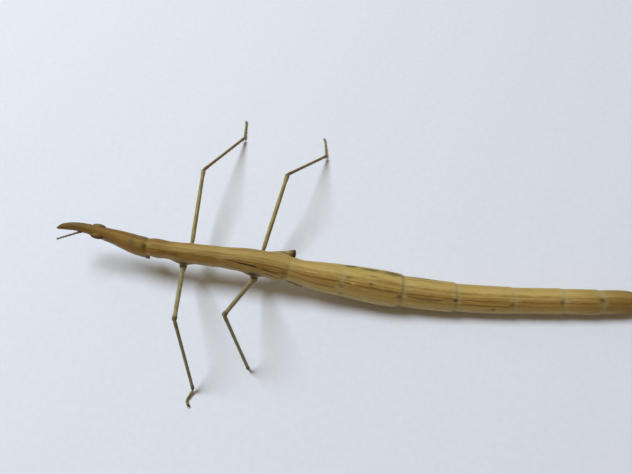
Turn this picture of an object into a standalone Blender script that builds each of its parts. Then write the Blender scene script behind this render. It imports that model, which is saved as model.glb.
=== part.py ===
"""A stick grasshopper (family Proscopiidae), adult female, life size, both hind legs lost.

The animal lies along X with its head towards -X, its left side towards -Y and the floor at z = 0.
Lengths are given in millimetres and become metres as each mesh is finished.
"""

import math

import bmesh
import bpy
import numpy as np
from mathutils import Matrix, Vector

MM = 0.001
BODY_LENGTH = 81.0  # tip of the head to the end of the ovipositor
GAP = 0.1  # thin cut between neighbouring parts
RING_CLEARANCE = 0.025  # keeps the last ring of one length apart from the first of the next, in a cutter
BODY_SIDES = 20  # points round a ring of the body
LIMB_SIDES = 10  # points round a ring of a leg or feeler
SLOPE_STEP = 0.2  # distance over which the direction of the trunk is taken
CUT_TOLERANCE = 1e-5
SHARP_ANGLE = math.radians(50)
AXIS_Y = -3.3  # where the body lies; its right feet reach further out than its left ones
ROLL = math.radians(4)  # the back leans a little towards the animal's left
FLAT_DEPTH = 0.04  # how much is cut off under a foot, so that it rests on a flat

# Middle line of the trunk: distance from the tip of the head, sideways bow, height
SPINE = (
    (12.1, 0.25, 5.45),  # neck
    (17.5, 0.0, 5.28),  # fore coxae
    (21.9, -0.1, 5.1),  # rear collar of the pronotum
    (26.5, -0.2, 4.85),  # mid coxae
    (30.9, -0.54, 4.28),  # root of the abdomen
    (33.6, -0.84, 3.87),
    (37.7, -0.95, 3.22),
    (45.9, -1.3, 2.29),
    (53.1, -1.33, 1.83),
    (60.6, -0.95, 1.62),
    (67.3, -0.38, 1.57),
    (72.3, 0.04, 1.5),
    (76.7, 0.55, 1.39),
    (81.0, 1.1, 1.3),
)

# Each length of the trunk: start, end, and its half width at shares of the way along it
TRUNK = {
    "pronotum": (12.25, 21.9, ((0, 1.08), (0.06, 1.2), (0.3, 1.15), (0.55, 1.27), (1, 1.39))),
    "mesothorax": (21.9, 27.0, ((0, 1.36), (0.4, 1.5), (0.85, 1.63), (1, 1.62))),
    "metathorax": (27.0, 30.9, ((0, 1.62), (0.45, 1.63), (0.8, 1.58), (1, 1.5))),
    "abdomen_2": (30.9, 37.75, ((0, 1.46), (0.2, 1.58), (0.5, 1.84), (0.8, 2.0), (1, 2.09))),
    "abdomen_3": (37.75, 45.9, ((0, 2.06), (0.3, 2.22), (0.75, 2.31), (1, 2.21))),
    "abdomen_4": (45.9, 53.1, ((0, 1.98), (0.2, 2.04), (0.8, 1.99), (1, 1.97))),
    "abdomen_5": (53.1, 60.6, ((0, 1.81), (0.3, 1.84), (0.8, 1.81), (1, 1.8))),
    "abdomen_6": (60.6, 67.3, ((0, 1.71), (0.3, 1.72), (0.8, 1.72), (1, 1.71))),
    "abdomen_7": (67.3, 72.3, ((0, 1.63), (0.3, 1.66), (0.8, 1.66), (1, 1.64))),
    "abdomen_8": (72.3, 76.7, ((0, 1.56), (0.3, 1.59), (0.7, 1.55), (1, 1.42))),
    "abdomen_tip": (76.7, 79.4, ((0, 1.32), (0.35, 1.26), (0.7, 1.0), (0.92, 0.62), (1, 0.3))),
}
RING_STEP = 1.15  # greatest distance between two rings of the trunk
HEIGHT_SHARE = 0.95  # half height of the trunk as a share of its half width
KEEL_SHARE = 0.05  # height of the ridge along the back, as a share of the half width
KEEL_ANGLE = 0.25  # how far round the back that ridge spreads, in radians
BELLY_POWER = 0.85  # under 1 flattens the belly

# Head: distance from its tip, sideways bow, top and bottom over the neck's middle, half width
HEAD = (
    (0.0, 1.22, 1.52, 1.28, 0.13),
    (0.35, 1.38, 1.6, 1.15, 0.27),
    (1.2, 1.58, 1.68, 0.93, 0.43),
    (2.4, 1.71, 1.74, 0.63, 0.51),
    (3.5, 1.67, 1.77, 0.33, 0.57),
    (4.6, 1.5, 1.77, 0.03, 0.66),
    (6.0, 1.3, 1.69, -0.34, 0.79),
    (7.3, 1.11, 1.59, -0.7, 0.93),
    (8.5, 0.86, 1.49, -1.05, 1.11),
    (9.7, 0.57, 1.39, -1.35, 1.26),
    (10.8, 0.34, 1.3, -1.5, 1.32),
    (11.6, 0.26, 1.21, -1.4, 1.28),
    (12.1, 0.25, 1.08, -1.12, 1.13),
)
NECK = 12.15  # distance of the neck from the tip of the head
# Places on the head: distance from its tip, distance out from its middle, height over the neck's middle
EYE_AT = (5.45, 0.6, 1.04)
MOUTH_AT = (11.5, 0.0, -1.72)
ANTENNA_AT = (3.4, 0.38, 0.95)
EYE_HALF = (0.96, 0.44, 0.5)  # half length, half width and half height
MOUTH_HALF = (1.45, 1.0, 0.85)
BALL_YAW = math.radians(-6)  # the head points a little to the animal's right
BALL_RINGS = 8
ANTENNA_LENGTH = 3.6
ANTENNA_PROFILE = ((0, 0.27), (0.1, 0.28), (0.2, 0.25), (0.97, 0.25), (1, 0.17))
ANTENNA_TURN = {"left": (22.5, -5), "right": (1, -18)}  # degrees outwards, then upwards

# Joints of each leg: hip, knee and ankle, as distance from the head's tip, sideways and height
LEGS = {
    "fore_left": ((16.75, -1.35, 3.35), (18.85, -10.8, 10.2), (20.5, -16.75, 0.5)),
    "fore_right": ((17.35, 1.3, 3.5), (17.4, 12.5, 5.85), (21.1, 21.95, 0.5)),
    "mid_left": ((26.3, -1.85, 2.75), (24.75, -9.95, 11.15), (27.1, -13.45, 0.5)),
    "mid_right": ((26.85, 1.4, 3.0), (29.35, 12.1, 7.25), (33.95, 20.0, 0.5)),
}
# Course of each foot over the floor, counted from its ankle
FEET = {
    "fore_left": ((0, 0), (-0.42, -0.8), (-0.62, -1.45), (-0.15, -2.2)),
    "fore_right": ((0, 0), (-0.02, 1.2), (-0.1, 2.5), (-0.2, 3.6)),
    "mid_left": ((0, 0), (-0.35, 0.55), (-0.75, 1.25), (-1.3, 2.1)),
    "mid_right": ((0, 0), (-0.15, 1.35), (-0.35, 2.5), (-0.6, 3.5)),
}
COXA_RADII = (0.54, 0.5, 0.41, 0.35)
COXA_DEPTH = 1.0  # how far the coxa starts inside the thorax, before it is cut free
COXA_AIM = 0.9  # it points inwards to a place this far under the trunk's middle line
TROCHANTER_REACH = (0.5, 0.9)  # bend and end of the trochanter, from the hip towards the knee
FEMUR_PROFILE = ((0, 0.25), (0.06, 0.29), (0.5, 0.28), (0.9, 0.26), (0.96, 0.31), (0.99, 0.29), (1, 0.22))
TIBIA_PROFILE = ((0, 0.24), (0.02, 0.3), (0.07, 0.26), (0.92, 0.25), (0.97, 0.28), (1, 0.22))
KNEE_OVERRUN = 0.12  # how far the femur runs past the knee
KNEE_CLEARANCE = 0.45  # how far below the knee the tibia starts
ANKLE_CLEARANCE = 0.25  # how far before the ankle the tibia ends
FOOT_PROFILE = ((0, 0.2), (0.06, 0.26), (0.3, 0.25), (0.6, 0.25), (0.85, 0.27), (0.96, 0.27), (1, 0.18))
FOOT_RADIUS = 0.25

# Stumps of the hind legs: root, bend and end, with the radius at each
STUMPS = {
    "hind_stump_left": (((28.7, -1.2, 3.9), (30.8, -1.88, 3.62), (33.0, -2.25, 3.15)), (0.34, 0.28, 0.34)),
    "hind_stump_right": (((27.9, 1.1, 4.75), (29.8, 1.5, 4.72), (31.7, 1.6, 4.66)), (0.32, 0.28, 0.5)),
}
STUMP_STOPS = (0, 0.2, 0.4, 0.6, 0.75, 0.88, 0.97, 1)
STUMP_CUT_SHARE = 0.75  # the healed end is this share as wide as the stump beside it

# Ovipositor: height of each pair of valves at its root, and how far its tip hooks up or down
VALVES = {"ovipositor_upper": (1.68, 0.35), "ovipositor_lower": (0.95, -0.3)}
VALVE_START = 78.9
# Share of the way along a valve, half width, half height
VALVE_PROFILE = ((0, 0.62, 0.32), (0.4, 0.55, 0.3), (0.75, 0.4, 0.27), (1, 0.27, 0.25))
CERCUS_AT = (78.3, 0.72, 1.75)
CERCUS_LENGTH = 1.15
CERCUS_PROFILE = ((0, 0.3), (0.5, 0.28), (1, 0.2))
CERCUS_SPLAY = math.radians(14)

COLOURS = {
    "straw": (0.56, 0.38, 0.16),
    "ochre": (0.5, 0.32, 0.12),
    "olive": (0.36, 0.29, 0.14),
    "brown": (0.22, 0.13, 0.06),
    "eye_brown": (0.14, 0.06, 0.025),
}


def clear_scene():
    for obj in list(bpy.data.objects):
        bpy.data.objects.remove(obj, do_unlink=True)


def paint(name, colour, roughness):
    material = bpy.data.materials.new(name)
    material.use_nodes = True
    shader = material.node_tree.nodes["Principled BSDF"]
    shader.inputs["Base Color"].default_value = (*COLOURS[colour], 1)
    shader.inputs["Roughness"].default_value = roughness
    shader.inputs["Metallic"].default_value = 0
    return material


def smooth_through(knots, values, at):
    """The value at one place on a smooth curve through the knots."""
    knots = np.asarray(knots, float)
    values = np.asarray(values, float)
    slopes = np.gradient(values, knots)
    i = int(np.clip(np.searchsorted(knots, at) - 1, 0, len(knots) - 2))
    width = knots[i + 1] - knots[i]
    t = min(max((at - knots[i]) / width, 0), 1)
    rise = t * t * (3 - 2 * t)
    start_slope = width * slopes[i] * t * (1 - t) ** 2
    end_slope = width * slopes[i + 1] * t * t * (1 - t)
    return float(values[i] * (1 - rise) + values[i + 1] * rise + start_slope - end_slope)


def smooth_path(points, stops):
    """Points at shares of the way along a smooth curve through a few given ones."""
    lengths = [0.0]
    for a, b in zip(points, points[1:]):
        lengths.append(lengths[-1] + (b - a).length)
    path = []
    for share in stops:
        at = lengths[-1] * share
        path.append(Vector([smooth_through(lengths, [p[axis] for p in points], at) for axis in range(3)]))
    return path


def at_place(along, side, height):
    """The model's coordinates of a place given from the tip of the head and the trunk's own line."""
    return Vector((along - BODY_LENGTH / 2, side + AXIS_Y, height))


def spine_point(along):
    knots = [row[0] for row in SPINE]
    side = smooth_through(knots, [row[1] for row in SPINE], along)
    height = smooth_through(knots, [row[2] for row in SPINE], along)
    return at_place(along, side, height)


def section(half_width, half_height, angle):
    """Out and up for one point of a ring, with the angle counted from the middle of the back."""
    lift = math.cos(angle)
    if lift < 0:
        lift = -(abs(lift) ** BELLY_POWER)
    ridge = KEEL_SHARE * math.exp(-((angle / KEEL_ANGLE) ** 2))
    return half_width * math.sin(angle), half_height * lift + half_width * ridge


def ring_angles(sides):
    return [math.tau * k / sides - math.pi for k in range(sides)]


def trunk_ring(along, half_width):
    middle = spine_point(along)
    backwards = (spine_point(along + SLOPE_STEP) - spine_point(along - SLOPE_STEP)).normalized()
    up = Vector((0, -math.sin(ROLL), math.cos(ROLL)))
    up = (up - backwards * up.dot(backwards)).normalized()
    left = up.cross(backwards)
    ring = []
    for angle in ring_angles(BODY_SIDES):
        out, lift = section(half_width, half_width * HEIGHT_SHARE, angle)
        ring.append(middle + left * out + up * lift)
    return ring


def trunk_rings(name, trim=0.0, grow=0.0):
    """Rings of one length of the trunk, shortened at each end by trim and made wider by grow."""
    start, end, profile = TRUNK[name]
    shares = [row[0] for row in profile]
    widths = [row[1] for row in profile]
    count = max(2, math.ceil((end - start) / RING_STEP))
    stops = sorted({k / count for k in range(count + 1)} | set(shares))
    rings = []
    for share in stops:
        along = start + trim + (end - start - 2 * trim) * share
        rings.append(trunk_ring(along, smooth_through(shares, widths, share) + grow))
    return rings


def loft(rings):
    """A closed body: the first ring's face, extruded from each ring to the next."""
    bm = bmesh.new()
    bmesh.ops.create_circle(bm, cap_ends=True, segments=len(rings[0]), radius=1)
    cap = bm.faces[:][0]
    for ring in rings:
        if ring is not rings[0]:
            cap = bmesh.ops.extrude_discrete_faces(bm, faces=[cap])["faces"][0]
        for loop, place in zip(cap.loops, ring):
            loop.vert.co = place
    bmesh.ops.holes_fill(bm, edges=bm.edges[:])
    bmesh.ops.recalc_face_normals(bm, faces=bm.faces[:])
    return bm


def limb(path, half_sizes):
    """A round or oval limb along a path, with a radius or a pair of half sizes at each point."""
    across = None
    rings = []
    for k, point in enumerate(path):
        ahead = (path[min(k + 1, len(path) - 1)] - path[max(k - 1, 0)]).normalized()
        if across is None:
            across = Vector((0, 0, 1)).cross(ahead).normalized()
        across = (across - ahead * across.dot(ahead)).normalized()
        upwards = ahead.cross(across)
        size = half_sizes[k]
        wide, high = size if isinstance(size, tuple) else (size, size)
        rings.append(
            [
                point + across * wide * math.sin(angle) + upwards * high * math.cos(angle)
                for angle in ring_angles(LIMB_SIDES)
            ]
        )
    return loft(rings)


def straight_limb(start, end, profile):
    path = [start.lerp(end, share) for share, *size in profile]
    sizes = [size[0] if len(size) == 1 else tuple(size) for share, *size in profile]
    return limb(path, sizes)


def rest_on_floor(bm):
    """Cut off what dips under the floor, which leaves the flat that the part rests on."""
    everything = bm.verts[:] + bm.edges[:] + bm.faces[:]
    cut = bmesh.ops.bisect_plane(
        bm, geom=everything, dist=CUT_TOLERANCE, plane_co=(0, 0, 0), plane_no=(0, 0, -1), clear_outer=True
    )
    edges = [item for item in cut["geom_cut"] if isinstance(item, bmesh.types.BMEdge)]
    bmesh.ops.holes_fill(bm, edges=edges)
    bmesh.ops.recalc_face_normals(bm, faces=bm.faces[:])


def finish(name, bm, colour, origin, roughness=0.5):
    """Turn a mesh in model coordinates, in millimetres, into an object with its origin at a joint."""
    bmesh.ops.translate(bm, verts=bm.verts[:], vec=-origin)
    bmesh.ops.scale(bm, verts=bm.verts[:], vec=(MM, MM, MM))
    mesh = bpy.data.meshes.new(name)
    bm.to_mesh(mesh)
    bm.free()
    mesh.shade_smooth()
    mesh.set_sharp_from_angle(angle=SHARP_ANGLE)
    mesh.materials.append(paint(name + "_paint", colour, roughness))
    obj = bpy.data.objects.new(name, mesh)
    obj.location = origin * MM
    obj.parent = bpy.data.objects["insect"]
    bpy.context.scene.collection.objects.link(obj)
    return obj


def as_cutter(obj):
    obj.hide_render = True
    obj.display_type = "WIRE"
    return obj


def cut_free(obj, *cutters):
    for cutter in cutters:
        modifier = obj.modifiers.new("clear of " + cutter.name, "BOOLEAN")
        modifier.operation = "DIFFERENCE"
        modifier.solver = "EXACT"
        modifier.object = cutter


def trunk_cutter(name, lengths):
    """One body a little wider than some lengths of the trunk, to cut the parts that meet them free."""
    rings = []
    for length in lengths:
        rings += trunk_rings(length, trim=RING_CLEARANCE, grow=GAP)
    start = TRUNK[lengths[0]][0]
    return as_cutter(finish(name, loft(rings), "straw", spine_point(start)))


def make_trunk():
    for name in TRUNK:
        bm = loft(trunk_rings(name, trim=GAP / 2))
        rest_on_floor(bm)
        finish(name, bm, "straw", spine_point(TRUNK[name][0]))


def head_side(along):
    return smooth_through([row[0] for row in HEAD], [row[1] for row in HEAD], along)


def head_place(along, out, height):
    """A place on the head, out from its middle towards the animal's left and up from the neck."""
    neck = spine_point(NECK)
    left = Vector((0, -math.cos(ROLL), -math.sin(ROLL)))
    up = Vector((0, -math.sin(ROLL), math.cos(ROLL)))
    return at_place(along, head_side(along), neck.z) + left * out + up * height


def head_rings(grow):
    rings = []
    for along, _, top, bottom, half_width in HEAD:
        if not rings:
            along -= grow
        middle = (top + bottom) / 2
        half_height = (top - bottom) / 2
        ring = []
        for angle in ring_angles(BODY_SIDES):
            out, lift = section(half_width + grow, half_height + grow, angle)
            ring.append(head_place(along, out, middle + lift))
        rings.append(ring)
    return rings


def ball(half_sizes, place):
    """An ellipsoid turned with the head."""
    bm = bmesh.new()
    bmesh.ops.create_uvsphere(bm, u_segments=2 * BALL_RINGS, v_segments=BALL_RINGS, radius=1)
    bmesh.ops.scale(bm, verts=bm.verts[:], vec=half_sizes)
    turn = Matrix.Rotation(BALL_YAW, 4, "Z") @ Matrix.Rotation(ROLL, 4, "X")
    bmesh.ops.transform(bm, matrix=Matrix.Translation(place) @ turn, verts=bm.verts[:])
    return bm


def make_head(thorax):
    neck = spine_point(NECK)
    finish("head", loft(head_rings(0)), "straw", neck)
    cutter = as_cutter(finish("head_cutter", loft(head_rings(GAP)), "straw", neck))
    for side, sign in (("left", 1), ("right", -1)):
        place = head_place(EYE_AT[0], sign * EYE_AT[1], EYE_AT[2])
        cut_free(finish("eye_" + side, ball(EYE_HALF, place), "eye_brown", place, roughness=0.15), cutter)
        root = head_place(ANTENNA_AT[0], sign * ANTENNA_AT[1], ANTENNA_AT[2])
        outwards, upwards = (math.radians(turn) for turn in ANTENNA_TURN[side])
        reach = Vector((-math.cos(outwards), -sign * math.sin(outwards), math.tan(upwards))).normalized()
        feeler = straight_limb(root, root + reach * ANTENNA_LENGTH, ANTENNA_PROFILE)
        cut_free(finish("antenna_" + side, feeler, "brown", root), cutter)
    place = head_place(*MOUTH_AT)
    cut_free(finish("mouthparts", ball(MOUTH_HALF, place), "brown", place), cutter, thorax)


def make_leg(name, thorax):
    hip, knee, ankle = (at_place(*joint) for joint in LEGS[name])
    thigh = (knee - hip).normalized()
    shin = (ankle - knee).normalized()
    inwards = (spine_point(LEGS[name][0][0]) - Vector((0, 0, COXA_AIM)) - hip).normalized()
    bend, end = TROCHANTER_REACH
    path = [hip + inwards * COXA_DEPTH, hip, hip + thigh * bend, hip + thigh * end]
    cut_free(finish(name + "_coxa", limb(path, COXA_RADII), "olive", hip), thorax)
    femur = straight_limb(hip + thigh * (end + GAP), knee + thigh * KNEE_OVERRUN, FEMUR_PROFILE)
    finish(name + "_femur", femur, "ochre", hip + thigh * end)
    tibia = straight_limb(knee + shin * KNEE_CLEARANCE, ankle - shin * ANKLE_CLEARANCE, TIBIA_PROFILE)
    finish(name + "_tibia", tibia, "ochre", knee)
    make_foot(name, ankle)


def make_foot(name, ankle):
    floor_height = FOOT_RADIUS - FLAT_DEPTH
    course = [Vector((ankle.x + x, ankle.y + y, floor_height)) for x, y in FEET[name]]
    path = smooth_path(course, [share for share, _ in FOOT_PROFILE])
    bm = limb(path, [radius for _, radius in FOOT_PROFILE])
    rest_on_floor(bm)
    finish(name + "_tarsus", bm, "olive", course[0])


def make_stump(name, thorax):
    joints, radii = STUMPS[name]
    path = smooth_path([at_place(*joint) for joint in joints], STUMP_STOPS)
    sizes = [smooth_through((0, 0.5, 1), radii, share) for share in STUMP_STOPS]
    sizes[-1] *= STUMP_CUT_SHARE
    cut_free(finish(name, limb(path, sizes), "brown", path[0]), thorax)


def make_tail(tip_cutter):
    for name, (height, hook) in VALVES.items():
        path = []
        for share, _, _ in VALVE_PROFILE:
            along = VALVE_START + (BODY_LENGTH - VALVE_START) * share
            middle = spine_point(along)
            path.append(Vector((middle.x, middle.y, height + hook * share**2)))
        bm = limb(path, [(wide, high) for _, wide, high in VALVE_PROFILE])
        cut_free(finish(name, bm, "brown", path[0]), tip_cutter)
    along, out, height = CERCUS_AT
    middle = spine_point(along)
    for side, sign in (("left", -1), ("right", 1)):
        root = Vector((middle.x, middle.y + sign * out, height))
        splay = Vector((math.cos(CERCUS_SPLAY), sign * math.sin(CERCUS_SPLAY), 0)) * CERCUS_LENGTH
        bm = straight_limb(root, root + splay, CERCUS_PROFILE)
        cut_free(finish("cercus_" + side, bm, "straw", root), tip_cutter)


def main():
    clear_scene()
    insect = bpy.data.objects.new("insect", None)
    bpy.context.scene.collection.objects.link(insect)
    make_trunk()
    thorax = trunk_cutter("thorax_cutter", ("pronotum", "mesothorax", "metathorax", "abdomen_2"))
    make_head(thorax)
    for name in LEGS:
        make_leg(name, thorax)
    for name in STUMPS:
        make_stump(name, thorax)
    make_tail(trunk_cutter("tail_cutter", ("abdomen_tip",)))


main()
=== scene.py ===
import math
import random

import bmesh
import bpy
import numpy as np
from mathutils import Matrix, Vector


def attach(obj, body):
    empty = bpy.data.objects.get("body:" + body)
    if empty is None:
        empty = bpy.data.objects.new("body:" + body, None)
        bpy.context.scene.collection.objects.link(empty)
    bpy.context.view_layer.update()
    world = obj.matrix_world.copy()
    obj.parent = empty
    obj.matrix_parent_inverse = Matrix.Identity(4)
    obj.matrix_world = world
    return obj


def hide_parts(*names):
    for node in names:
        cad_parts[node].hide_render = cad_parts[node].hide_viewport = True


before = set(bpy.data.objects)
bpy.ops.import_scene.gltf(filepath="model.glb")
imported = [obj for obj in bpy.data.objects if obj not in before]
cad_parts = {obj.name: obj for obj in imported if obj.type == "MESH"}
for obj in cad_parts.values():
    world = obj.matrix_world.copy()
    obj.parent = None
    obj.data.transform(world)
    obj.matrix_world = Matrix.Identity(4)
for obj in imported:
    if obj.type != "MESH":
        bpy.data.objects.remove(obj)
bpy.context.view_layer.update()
print("frame loaded:", len(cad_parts), "nodes")

# every length below is in millimetres, and becomes metres as a piece is finished
mm = 0.001
bodyLength = 81.0
# the front of the body lies this far to the animal's left of the part's middle, rolled a little to that side
axisY = -3.3
roll = math.radians(4)


# a smooth curve through the knots, for one place or many at once; a steady one never swings past a knot
def smoothThrough(knots, values, at, steady=False):
    knots = np.asarray(knots, float)
    values = np.asarray(values, float)
    at = np.asarray(at, float)
    slopes = np.gradient(values, knots)
    if steady:
        rises = np.diff(values) / np.diff(knots)
        most = 2 * np.minimum(np.abs(rises[:-1]), np.abs(rises[1:])) * (rises[:-1] * rises[1:] > 0)
        slopes[1:-1] = np.clip(slopes[1:-1], -most, most)
    i = np.clip(np.searchsorted(knots, at) - 1, 0, len(knots) - 2)
    width = knots[i + 1] - knots[i]
    t = np.clip((at - knots[i]) / width, 0, 1)
    rise = t * t * (3 - 2 * t)
    bend = width * (slopes[i] * t * (1 - t) ** 2 - slopes[i + 1] * t * t * (1 - t))
    return values[i] * (1 - rise) + values[i + 1] * rise + bend


# one column of a table, read smoothly at a distance given in its first column
def columnAt(rows, column, at, steady=False):
    return smoothThrough([row[0] for row in rows], [row[column] for row in rows], at, steady)


def softStep(at, start, end):
    t = np.clip((np.asarray(at, float) - start) / (end - start), 0, 1)
    return t * t * (3 - 2 * t)


# 1 between first and last, fading to 0 over both ends
def between(at, first, last, outside, inside):
    return softStep(at, first - outside, first + inside) * (1 - softStep(at, last - inside, last + outside))


# 1 where away is 0, and soon nothing beyond its reach
def hump(away, reach):
    return np.exp(-((away / reach) ** 2))


# difference of two angles, wrapped to plus or minus half a turn
def turnBetween(angle, other):
    return (angle - other + math.pi) % math.tau - math.pi


def placeAt(along, side, height):
    return Vector((along - bodyLength / 2, side + axisY, height))


# a flat grid rolled into a tube: shape gives each point's place and its marks
def rolledTube(around, rows, shape):
    bm = bmesh.new()
    bmesh.ops.create_grid(bm, x_segments=around, y_segments=len(rows) - 1, size=0.5)
    flat = np.array([v.co[:2] for v in bm.verts])
    at = np.asarray(rows)[np.rint((flat[:, 1] + 0.5) * (len(rows) - 1)).astype(int)]
    angle = flat[:, 0] * math.tau
    places, marks = shape(at, angle)
    layers = {}
    for name, values in marks.items():
        kind = bm.verts.layers.float_vector if np.ndim(values) > 1 else bm.verts.layers.float
        layers[kind.new(name)] = values
    bm.verts.ensure_lookup_table()
    for k, v in enumerate(bm.verts):
        v.co = places[k]
        for layer, values in layers.items():
            v[layer] = values[k]
    bmesh.ops.remove_doubles(bm, verts=bm.verts[:], dist=1e-4)
    bmesh.ops.recalc_face_normals(bm, faces=bm.faces[:])
    return bm


def meshFrom(name, bm):
    mesh = bpy.data.meshes.new(name)
    bm.to_mesh(mesh)
    bm.free()
    return mesh


def objectFrom(name, data):
    made = bpy.data.objects.new(name, data)
    bpy.context.scene.collection.objects.link(made)
    return made


# the mesh becomes an object in metres that rides on the root and stands for its nodes
def finishPiece(name, bm, material, nodes):
    bmesh.ops.scale(bm, verts=bm.verts[:], vec=(mm, mm, mm))
    mesh = meshFrom(name, bm)
    mesh.shade_smooth()
    mesh.materials.append(material)
    piece = objectFrom(name, mesh)
    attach(piece, "root")
    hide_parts(*nodes)
    return piece


# the other mesh is used up
def joinInto(bm, other):
    mesh = meshFrom("joined", other)
    bm.from_mesh(mesh)
    bpy.data.meshes.remove(mesh)


tones = {
    "tan": (0.46, 0.3, 0.075),
    "paleTan": (0.57, 0.41, 0.125),
    "ochre": (0.44, 0.265, 0.055),
    "brown": (0.32, 0.17, 0.034),
    "darkBrown": (0.16, 0.074, 0.016),
    "line": (0.085, 0.038, 0.01),
    "soot": (0.05, 0.024, 0.009),
    "black": (0.016, 0.011, 0.008),
    "orange": (0.22, 0.105, 0.018),
    "headBrown": (0.24, 0.125, 0.02),
    "greyGreen": (0.27, 0.22, 0.09),
    "darkGreen": (0.075, 0.08, 0.02),
    "moss": (0.4, 0.34, 0.05),
    "edgeGrey": (0.6, 0.49, 0.27),
    "belly": (0.47, 0.36, 0.17),
    "flank": (0.7, 0.53, 0.24),
    "ringGrey": (0.44, 0.37, 0.17),
}


# shorthand for wiring a material's nodes, where a colour may also be the name of a tone
class Shader:
    def __init__(self, name, roughness=0.5):
        self.material = bpy.data.materials.new(name)
        self.material.use_nodes = True
        self.tree = self.material.node_tree
        self.out = self.tree.nodes["Principled BSDF"]
        self.out.inputs["Roughness"].default_value = roughness
        self.out.inputs["Specular IOR Level"].default_value = 0.22

    def node(self, kind, **settings):
        made = self.tree.nodes.new(kind)
        for key, value in settings.items():
            setattr(made, key, value)
        return made

    def wire(self, source, target):
        self.tree.links.new(source, target)

    def attribute(self, name, output="Fac"):
        return self.node("ShaderNodeAttribute", attribute_name=name).outputs[output]

    def math(self, operation, a, b=0.0, clamp=False):
        made = self.node("ShaderNodeMath", operation=operation, use_clamp=clamp)
        for k, value in enumerate((a, b)):
            if isinstance(value, (int, float)):
                made.inputs[k].default_value = value
            else:
                self.wire(value, made.inputs[k])
        return made.outputs[0]

    def times(self, a, b):
        return self.math("MULTIPLY", a, b)

    def scaled(self, vector, scale, shift=(0, 0, 0)):
        made = self.node("ShaderNodeMapping")
        made.inputs["Scale"].default_value = scale
        made.inputs["Location"].default_value = shift
        self.wire(vector, made.inputs["Vector"])
        return made.outputs[0]

    def noise(self, vector, scale, shift=(0, 0, 0), detail=3, rough=0.55):
        made = self.node("ShaderNodeTexNoise")
        made.inputs["Scale"].default_value = 1
        made.inputs["Detail"].default_value = detail
        made.inputs["Roughness"].default_value = rough
        self.wire(self.scaled(vector, scale, shift), made.inputs["Vector"])
        return made.outputs[0]

    # the object's own coordinates in millimetres
    def objectPlace(self):
        return self.scaled(self.node("ShaderNodeTexCoord").outputs["Object"], (1 / mm, 1 / mm, 1 / mm))

    def ramp(self, value, stops):
        made = self.node("ShaderNodeValToRGB")
        parts = made.color_ramp.elements
        while len(parts) < len(stops):
            parts.new(0.5)
        for part, (position, colour) in zip(parts, stops):
            colour = tones.get(colour, colour)
            part.position = position
            part.color = (*colour, 1) if isinstance(colour, tuple) else (colour, colour, colour, 1)
        self.wire(value, made.inputs[0])
        return made.outputs[0]

    # straight from the first value at start to the last at end
    def fade(self, value, start, end, first=0.0, last=1.0):
        return self.ramp(value, ((start, first), (end, last)))

    def mix(self, amount, a, b, blend="MIX"):
        made = self.node("ShaderNodeMix", data_type="RGBA", blend_type=blend)
        for key, value in (("Factor", amount), ("A", a), ("B", b)):
            socket = [s for s in made.inputs if s.name == key and s.enabled][0]
            value = tones[value] if isinstance(value, str) else value
            if isinstance(value, tuple):
                socket.default_value = (*value, 1)
            elif isinstance(value, (int, float)):
                socket.default_value = value
            else:
                self.wire(value, socket)
        return [s for s in made.outputs if s.enabled][0]

    def finish(self, colour, roughness=None, height=None, strength=0.3, distance=0.00002):
        self.wire(colour, self.out.inputs["Base Color"])
        if roughness is not None:
            self.wire(roughness, self.out.inputs["Roughness"])
        if height is not None:
            bump = self.node("ShaderNodeBump")
            bump.inputs["Strength"].default_value = strength
            bump.inputs["Distance"].default_value = distance
            self.wire(height, bump.inputs["Height"])
            self.wire(bump.outputs[0], self.out.inputs["Normal"])
        return self.material


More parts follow.
